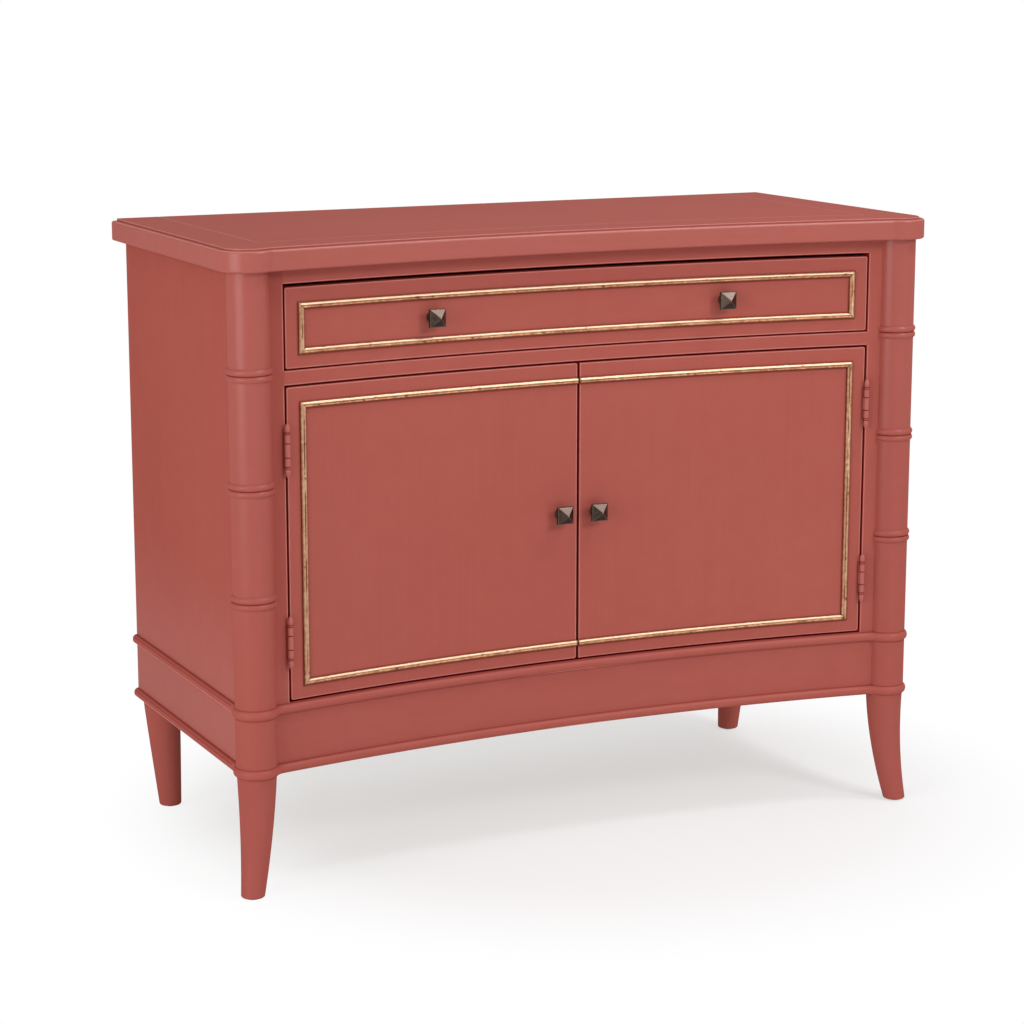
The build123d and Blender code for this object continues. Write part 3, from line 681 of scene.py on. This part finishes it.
def openingMarks():
    # edges of the rails, the apron and the stiles round the two openings
    cupboard = (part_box("front_apron")[1].z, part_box("middle_rail")[0].z)
    drawer = (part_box("middle_rail")[1].z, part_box("top_rail")[0].z)
    sill = facing(wearAndPaintedLight["sillReach"])
    marks = {
        "front_apron": edgeMarks([("z", cupboard[0], -1)], sill),
        "middle_rail": edgeMarks([("z", cupboard[1], 1), ("z", drawer[0], -1)], sill),
        "top_rail": edgeMarks([("z", drawer[1], 1)], sill),
    }
    for node, side in (("left_stile", -1), ("right_stile", 1)):
        low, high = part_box(node)
        inner = low.x if side > 0 else high.x
        marks[node] = {"pale": [], "dark": []}
        for opening in (cupboard, drawer):
            edge = edgeMarks([("x", inner, side)], (("z", *opening),))
            marks[node]["pale"] += edge["pale"]
            marks[node]["dark"] += edge["dark"]
    # painted shade on the left stile beside the left column, darker higher up
    marks["left_stile"].update({"shade": wearAndPaintedLight["stileShade"], "shadeRise": wearAndPaintedLight["stileRise"]})
    return marks


def caseMarks():
    # base mouldings, columns, legs and sides
    marks = {}
    # glaze and painted shade in the grooves of the columns' nodes
    rings = [lineAcross("z", at, wearAndPaintedLight["ringHalf"], share=wearAndPaintedLight["ringShare"]) for at in wearAndPaintedLight["rings"]]
    for moulding, lipHighlightShare in wearAndPaintedLight["lipHighlightShare"].items():
        low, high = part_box(moulding)
        # painted shade in the crevices above and below the moulding
        above, below = [
            lineAcross("z", edge, wearAndPaintedLight["crevice"], share=wearAndPaintedLight["creviceShare"])
            for edge in (high.z, low.z)
        ]
        rings += [above, below]
        turn = low.y + wearAndPaintedLight["turn"]
        sides = (("y", turn, high.y),)
        below = {**below, "within": (("y", low.y - wearAndPaintedLight["slack"], turn),)}
        # painted shade on the moulding's sides, below its top
        groove = lineAcross(
            "z", high.z - wearAndPaintedLight["groove"], wearAndPaintedLight["grooveHalf"],
            share=wearAndPaintedLight["grooveShare"],
            within=sides,
        )
        # painted highlight: a pale line above the shaded underside, on the sides
        lipHighlight = lineAcross(
            "z", low.z + wearAndPaintedLight["lipHighlight"], wearAndPaintedLight["lipHighlightHalf"],
            share=lipHighlightShare,
            within=sides,
            tone=paint["lipHighlight"],
        )
        marks[moulding] = {
            "dark": [above, below, groove],
            "pale": [lipHighlight],
            "coat": paint["mouldingCoat"],
        }
    for side in ("left", "right"):
        # painted shade on the columns
        marks[side + "_column"] = {
            "dark": rings,
            "coat": paint["columnCoat"],
            "coatRise": (paint["columnGain"], *wearAndPaintedLight["columnRise"]),
            "shade": wearAndPaintedLight["columnShade"],
        }
        # painted shade on the front legs
        marks["front_" + side + "_leg"] = {"coat": paint["legCoat"], "shade": wearAndPaintedLight["legShade"]}
        marks[side + "_side_panel"] = {
            "coat": paint["sideCoat"],
            "coatRise": (-paint["sideCoat"], *wearAndPaintedLight["sideRise"]),
        }
    return marks


def addHingeMarks(marks):
    # painted shade between the knuckles, and on the stile and the door beside them; a painted
    # highlight on the hinges
    heights = wearAndPaintedLight["hingeHeights"]
    rings = [
        lineAcross("z", middle + ring, wearAndPaintedLight["hingeRingHalf"])
        for middle in heights
        for ring in wearAndPaintedLight["hingeRings"]
    ]
    reach = max(wearAndPaintedLight["hingeRings"])
    near = facing(wearAndPaintedLight["reach"])
    for side in ("left", "right"):
        low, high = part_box(side + "_hinge_pins")
        shades = [
            lineAcross(
                "x", at, wearAndPaintedLight["hingeShade"],
                share=wearAndPaintedLight["hingeShadeShare"],
                within=(*near, ("z", middle - reach, middle + reach)),
            )
            for at in (low.x, high.x)
            for middle in heights
        ]
        for node in (side + "_stile", side + "_door_panel"):
            marks[node]["dark"] += shades
        for node in (side + "_hinge_frame_leaves", side + "_door_hinge_leaves", side + "_hinge_pins"):
            marks[node] = {"dark": rings, "highlightLift": wearAndPaintedLight["hingeHighlightLift"], "coat": paint["polish"]}


def topMarks():
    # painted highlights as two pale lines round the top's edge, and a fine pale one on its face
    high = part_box("top_panel")[1]
    end = high.x - wearAndPaintedLight["topLineInset"]
    back = front["radius"] + wearAndPaintedLight["topLineBack"]
    below, above = wearAndPaintedLight["topFace"]
    face = ("z", high.z - below, high.z + above)
    half = wearAndPaintedLight["topLineHalf"]
    behind = ("front", back, wearAndPaintedLight["farBack"])
    return {
        "pale": [
            lineAcross("z", high.z - wearAndPaintedLight["topArris"], wearAndPaintedLight["topHalf"], share=wearAndPaintedLight["topShare"]),
            lineAcross("z", high.z - wearAndPaintedLight["topLower"], wearAndPaintedLight["topHalf"]),
            lineAcross("front", back, half, within=(face, ("x", -end, end))),
            lineAcross("x", end, half, within=(face, behind)),
            lineAcross("x", -end, half, within=(face, behind)),
        ],
        "polishBelow": high.z - wearAndPaintedLight["topPolish"],
    }


wornAndShadedNodes = {**panelMarks(), **openingMarks(), **caseMarks()}
addHingeMarks(wornAndShadedNodes)
wornAndShadedNodes["top_panel"] = topMarks()
for node, marks in wornAndShadedNodes.items():
    dress(frame["nodes"][node], paintFinish(node + "Paint", grainAxis(node), marks))
print("worn edges painted")


def onFront(x, z, proud):
    # the point that stands so far in front of the concave face at x and z
    lean = math.asin(x / front["radius"])
    reach = front["radius"] - proud
    return Vector((reach * math.sin(lean), front["centre"] + reach * math.cos(lean), z))


def makePiece(name, shape, material, body, replaced=()):
    mesh = bpy.data.meshes.new(name)
    bmesh.ops.recalc_face_normals(shape, faces=shape.faces)
    shape.to_mesh(mesh)
    shape.free()
    piece = bpy.data.objects.new(name, mesh)
    bpy.context.scene.collection.objects.link(piece)
    dress(piece, material)
    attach(piece, body)
    if replaced:
        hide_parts(*replaced)
    return piece


# gilt moulding: a low bead with a worn hollow along its middle, mitred at the corners
moulding = {
    "width": 0.009,
    "proud": 0.0040,
    "fullness": 0.8,         # power of the bead's round; under 1 fills its shoulders
    "hollow": 0.0015,
    "hollowAt": 0.54,        # share of the width
    "hollowWidth": 0.20,
    "hollowFall": 4.0,
    "hollowGlaze": 0.66,
    "rim": (0.0, 0.13),      # across a level stretch, from its upper side with the painted highlight: a thin glazed rim, then where the painted highlight turns dull, and where painted shade pools on the lower side
    "turn": (0.28, 0.44),    # then where the leaf turns dull, and where the glaze pools
    "shadePool": (0.70, 0.86),
    "rimLeaf": 0.35,
    "dullLeaf": 0.46,
    "paintedHighlightLeaf": 0.62,
    "uprightLeaf": 0.76,     # at the crown of the upright stretches
    "uprightFall": 1.6,
    "patchScale": 0.3,       # how fast the glaze in the hollow comes and goes
    "patchReach": 0.35,
    "acrossSteps": 18,
    "alongStep": 0.0022,
    "mitreGap": 0.00012,
    "wobble": 0.00016,
    "wobbleScale": 120,
    "sidewaysScale": 2.3,
    "foot": 0.0002,          # lower than this the moulding doesn't wobble
    "nickEvery": 0.055,
    "nickSizes": (0.0006, 0.0016),
    "nickReach": 6,
    "nickFlat": 0.18,
    "nickDepth": 0.0002,
    "nickBare": 0.6,
    "seed": 7,
    "seedStep": 11,
}


def easeStep(value, low, high):
    t = min(1.0, max(0.0, (value - low) / (high - low)))
    return t * t * (3 - 2 * t)


def mouldingSection(shadedSide):
    # distance in from the outer edge, height over the face, how bright the leaf is, and how
    # much of that the hollow takes; on a level stretch the upper side has a painted highlight and
    # painted shade pools at the lower side, inner (1) or outer (-1); glaze fills the hollow alone (0)
    points = []
    steps = moulding["acrossSteps"]
    for i in range(steps + 1):
        t = i / steps
        dome = math.sqrt(max(0.0, 1 - (2 * t - 1) ** 2)) ** moulding["fullness"]
        away = (t - moulding["hollowAt"]) / moulding["hollowWidth"]
        dip = math.exp(-(away ** 2) * moulding["hollowFall"])
        height = moulding["proud"] * dome - moulding["hollow"] * dip
        if shadedSide:
            fall = t if shadedSide > 0 else 1 - t
            rim = moulding["rimLeaf"] + (1 - moulding["rimLeaf"]) * easeStep(fall, *moulding["rim"])
            # painted highlight on the upper side of a level stretch, and painted shade pooling below
            paintedHighlight = 1 - easeStep(fall, *moulding["turn"])
            leaf = rim * (moulding["dullLeaf"] + moulding["paintedHighlightLeaf"] * paintedHighlight)
            leaf *= 1 - easeStep(fall, *moulding["shadePool"])
            taken = 0
        else:
            leaf = moulding["uprightLeaf"] * dome ** moulding["uprightFall"]
            taken = moulding["hollowGlaze"] * dip
        points.append((t * moulding["width"], max(0.0, height), leaf, taken))
    return points


def nicksAlong(full, seed):
    dice = random.Random(seed)
    nicks = []
    for _ in range(round(full / moulding["nickEvery"])):
        at = dice.uniform(0, full)
        across = dice.uniform(0, moulding["width"])
        size = dice.uniform(*moulding["nickSizes"])
        nicks.append((at, across, size))
    return nicks


def dentAt(nicks, where, distance):
    # how strongly the nicks dent the moulding at one point
    dent = 0
    for at, across, size in nicks:
        gap = ((where - at) ** 2 + (distance - across) ** 2) / size ** 2
        if gap < moulding["nickReach"]:
            dent += math.exp(-gap)
    return dent


def addStretch(shape, leafAndLightLayer, start, end, inward, mitres, seed):
    # one length of moulding from start to end in the (x, z) plane of the face
    section = mouldingSection(-inward[1])
    start = Vector(start)
    end = Vector(end)
    inward = Vector(inward)
    run = (end - start).normalized()
    full = (end - start).length
    steps = max(2, round(full / moulding["alongStep"]))
    nicks = nicksAlong(full, seed)
    wobble = moulding["wobble"]
    scale = moulding["wobbleScale"]
    reach = moulding["patchReach"]
    rows = []
    for i in range(steps + 1):
        row = []
        for distance, height, leaf, taken in section:
            near = distance * mitres[0] + moulding["mitreGap"]
            far = full - distance * mitres[1] - moulding["mitreGap"]
            where = near + (far - near) * i / steps
            flat = start + run * where + inward * distance
            sample = Vector((flat.x * scale, flat.y * scale, seed))
            sway = noise.noise(sample) * wobble * (height > moulding["foot"])
            dent = dentAt(nicks, where, distance)
            rise = height * (1 - moulding["nickFlat"] * dent) + sway - dent * moulding["nickDepth"]
            flat += inward * noise.noise(sample * moulding["sidewaysScale"]) * wobble
            vert = shape.verts.new(onFront(flat.x, flat.y, max(0.0, rise)))
            patch = easeStep(noise.noise(sample * moulding["patchScale"]), -reach, reach)
            bare = moulding["nickBare"] * min(1, dent)
            vert[leafAndLightLayer] = max(0.0, leaf - taken * patch - bare)
            row.append(vert)
        rows.append(row)
    for first, second in zip(rows, rows[1:]):
        for j in range(len(first) - 1):
            shape.faces.new((first[j], first[j + 1], second[j + 1], second[j]))
        shape.faces.new((first[-1], first[0], second[0], second[-1]))
    shape.faces.new(rows[0])
    shape.faces.new(list(reversed(rows[-1])))


def giltFrame(name, node, body, openSide):
    # four stretches, or three where the moulding is open at the left (-1) or the right (1)
    low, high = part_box(node)
    left, right = low.x, high.x
    shape = bmesh.new()
    leafAndLightLayer = shape.verts.layers.float.new("crown")
    openLeft = openSide == -1
    openRight = openSide == 1
    seed = moulding["seed"] + len(name)
    ends = (not openLeft, not openRight)
    stretches = [
        ((left, low.z), (right, low.z), (0, 1), ends),
        ((left, high.z), (right, high.z), (0, -1), ends),
    ]
    if not openLeft:
        stretches.append(((left, low.z), (left, high.z), (1, 0), (True, True)))
    if not openRight:
        stretches.append(((right, low.z), (right, high.z), (-1, 0), (True, True)))
    for number, (start, end, inward, mitres) in enumerate(stretches):
        stretchSeed = seed + number * moulding["seedStep"]
        addStretch(shape, leafAndLightLayer, start, end, inward, mitres, stretchSeed)
    piece = makePiece(name, shape, finishes["gilt"], body, (node,))
    for face in piece.data.polygons:
        face.use_smooth = len(face.vertices) == 4


giltFrame("drawerGiltMoulding", "drawer_trim", "drawer", 0)
giltFrame("leftDoorGiltMoulding", "left_door_trim", "left_door", 1)
giltFrame("rightDoorGiltMoulding", "right_door_trim", "right_door", -1)
print("gilt mouldings made")


# knobs: a pyramid head with eased edges on a turned stem
knob = {
    "head": 0.0245,
    "band": 0.004,
    "point": 0.009,
    "tip": 0.0012,
    "ease": 0.0006,
    "rim": 0.0007,           # flat border round the pyramid's foot
    "rimDrop": 0.0002,
    "worn": 0.0005,          # how far rubbing reaches in from an edge
    "flatArea": 0.00005,     # faces larger than this are flats
    "stem": 0.012,
    "roseRadius": 0.009,
    "roseHeight": 0.0025,
    "footEase": 0.0004,
    "roseEase": (0.0005, 0.0006),      # down the rose's edge, and in over its top
    "neckRadius": 0.0055,
    "neckEase": (0.001, 0.0002),       # up from the rose, and out from the neck
    "neckFoot": 0.0015,
    "neckSteps": 8,
    "flareRadius": 0.009,
    "flarePower": 2.4,
    "turns": 40,
    "sharpAngle": 35,
}


def turnedStem(shape):
    # rose, neck and flare, as (height, radius) from the face outward
    rose = knob["roseRadius"]
    top = knob["roseHeight"]
    neck = knob["neckRadius"]
    outline = [
        (0, rose - knob["footEase"]),
        (knob["footEase"], rose),
        (top - knob["roseEase"][0], rose),
        (top, rose - knob["roseEase"][1]),
        (top + knob["neckEase"][0], neck + knob["neckEase"][1]),
    ]
    for i in range(knob["neckSteps"] + 1):
        t = i / knob["neckSteps"]
        height = top + knob["neckFoot"] + t * (knob["stem"] - top - knob["neckFoot"])
        outline.append((height, neck + (knob["flareRadius"] - neck) * t ** knob["flarePower"]))
    turns = knob["turns"]
    rings = []
    for height, radius in outline:
        ring = []
        for i in range(turns):
            angle = 2 * math.pi * i / turns
            ring.append(shape.verts.new((radius * math.cos(angle), radius * math.sin(angle), height)))
        rings.append(ring)
    for first, second in zip(rings, rings[1:]):
        for i in range(turns):
            j = (i + 1) % turns
            shape.faces.new((first[i], first[j], second[j], second[i]))
    shape.faces.new(list(reversed(rings[0])))
    shape.faces.new(rings[-1])


def pyramidHead(shape, edgeLayer):
    shoulder = knob["stem"] + knob["band"]
    levels = (
        (knob["stem"], knob["head"]),
        (shoulder, knob["head"]),
        (shoulder - knob["rimDrop"], knob["head"] - 2 * knob["rim"]),
        (shoulder + knob["point"], knob["tip"]),
    )
    square = ((-1, -1), (1, -1), (1, 1), (-1, 1))
    squares = []
    for height, size in levels:
        corners = [(right * size / 2, up * size / 2, height) for right, up in square]
        squares.append([shape.verts.new(corner) for corner in corners])
    made = [shape.faces.new(list(reversed(squares[0]))), shape.faces.new(squares[-1])]
    for first, second in zip(squares, squares[1:]):
        for i in range(4):
            j = (i + 1) % 4
            made.append(shape.faces.new((first[i], first[j], second[j], second[i])))
    edges = list(dict.fromkeys(edge for face in made for edge in face.edges))
    settings = {"offset": knob["ease"], "segments": 2, "profile": 0.5, "affect": "EDGES"}
    rounded = set(bmesh.ops.bevel(shape, geom=edges, clamp_overlap=True, **settings)["faces"])
    for face in rounded:
        for vert in face.verts:
            vert[edgeLayer] = 1.0
    flats = [
        face for face in shape.faces
        if face.calc_area() > knob["flatArea"] and face not in rounded
    ]
    bmesh.ops.inset_individual(shape, faces=flats, thickness=knob["worn"])
    for face in flats:
        for vert in face.verts:
            vert[edgeLayer] = 0.0


def makeKnob(name, node, body):
    low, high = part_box(node)
    middle = (low + high) / 2
    reach = front["radius"]
    total = knob["stem"] + knob["band"] + knob["point"]
    lean = math.asin(middle.x / (reach - total / 2))
    shape = bmesh.new()
    edgeLayer = shape.verts.layers.float.new("edge")
    turnedStem(shape)
    pyramidHead(shape, edgeLayer)
    outward = Vector((-math.sin(lean), -math.cos(lean), 0))
    across = Vector((math.cos(lean), -math.sin(lean), 0))
    foot = Vector((reach * math.sin(lean), front["centre"] + reach * math.cos(lean), middle.z))
    turn = Matrix((across, Vector((0, 0, 1)), outward)).transposed().to_4x4()
    shape.transform(Matrix.Translation(foot) @ turn)
    piece = makePiece(name, shape, finishes["bronze"], body, (node,))
    for face in piece.data.polygons:
        face.use_smooth = True
    piece.data.set_sharp_from_angle(angle=math.radians(knob["sharpAngle"]))


makeKnob("drawerLeftKnob", "drawer_left_knob", "drawer")
makeKnob("drawerRightKnob", "drawer_right_knob", "drawer")
makeKnob("leftDoorKnob", "left_door_knob", "left_door")
makeKnob("rightDoorKnob", "right_door_knob", "right_door")
print("knobs made")


# studio: a pale floor that fades to white, a broad window light on the left, a smaller
# lamp on the right, one overhead, and a pale sky
studio = {
    "floorSize": 12.0,
    "floorColour": (0.90, 0.90, 0.90),
    "glowNear": 0.56,        # share of plain white where the shadows fall
    "dustScale": 3.0,
    "dust": 0.01,
    "fadeCentre": (0.10, 0.0, 0.0),
    "fade": (0.40, 0.74),
    "skyLight": 0.30,
    "skyRise": 1.2,          # how much brighter the sky is overhead
    "aim": (0.0, 0.0, 0.45),
    "lamps": {
        "windowLight": {"place": (-3.45, -1.42, 1.15), "size": 2.2, "power": 54.0},
        "rightLamp": {"place": (1.56, -3.19, 2.5), "size": 0.8, "power": 42.0},
        "overheadLamp": {"place": (1.47, -1.12, 3.35), "size": 0.7, "power": 27.0},
    },
}


def softBox(name, lamp):
    data = bpy.data.lights.new(name, "AREA")
    data.shape = "SQUARE"
    data.size = lamp["size"]
    data.energy = lamp["power"]
    box = bpy.data.objects.new(name, data)
    box.location = lamp["place"]
    aim = Vector(studio["aim"]) - Vector(lamp["place"])
    box.rotation_euler = aim.to_track_quat("-Z", "Y").to_euler()
    bpy.context.scene.collection.objects.link(box)


def plainRays(finish):
    # 1 for rays that show the background: seen directly, in gloss or through glass
    rays = finish.add("ShaderNodeLightPath").socket.node.outputs
    direct = Wire(finish, rays["Is Camera Ray"])
    gloss = Wire(finish, rays["Is Glossy Ray"])
    through = Wire(finish, rays["Is Transmission Ray"])
    return direct.atLeast(gloss).atLeast(through)


def makeFloor():
    shape = bmesh.new()
    bmesh.ops.create_grid(shape, x_segments=1, y_segments=1, size=studio["floorSize"])
    mesh = bpy.data.meshes.new("studioFloor")
    shape.to_mesh(mesh)
    shape.free()
    floor = bpy.data.objects.new("studioFloor", mesh)
    bpy.context.scene.collection.objects.link(floor)
    finish = Finish("paleFloor")
    here = finish.place()
    dust = finish.noise(here, studio["dustScale"])
    fade = finish.smooth(finish.distance(here, studio["fadeCentre"]), *studio["fade"])
    matt = finish.add("ShaderNodeBsdfDiffuse", None, {"Color": (*studio["floorColour"], 1)})
    glow = finish.add("ShaderNodeEmission", None, {"Color": (1, 1, 1, 1), "Strength": 1.0})
    near = studio["glowNear"] + (dust - 0.5) * studio["dust"]
    share = plainRays(finish) * (near + (1 - near) * fade)
    mixed = finish.add("ShaderNodeMixShader", None, {0: share, 1: matt, 2: glow})
    finish.add("ShaderNodeOutputMaterial", None, {"Surface": mixed})
    floor.data.materials.append(finish.material)


class Sky(Finish):
    def __init__(self, name):
        world = bpy.data.worlds.new(name)
        world.use_nodes = True
        bpy.context.scene.world = world
        self.tree = world.node_tree
        self.tree.nodes.clear()


def makeSky():
    sky = Sky("studioSky")
    ahead = sky.split(sky.add("ShaderNodeTexCoord", output="Generated"))
    level = studio["skyLight"] + studio["skyLight"] * studio["skyRise"] * ahead[2].atLeast(0)
    strength = level + (1 - level) * plainRays(sky)
    light = sky.add("ShaderNodeBackground", None, {"Color": (1, 1, 1, 1), "Strength": strength})
    sky.add("ShaderNodeOutputWorld", None, {"Surface": light})


makeFloor()
makeSky()
for name, lamp in studio["lamps"].items():
    softBox(name, lamp)
bpy.context.scene.view_settings.view_transform = "Standard"
print("studio lit")
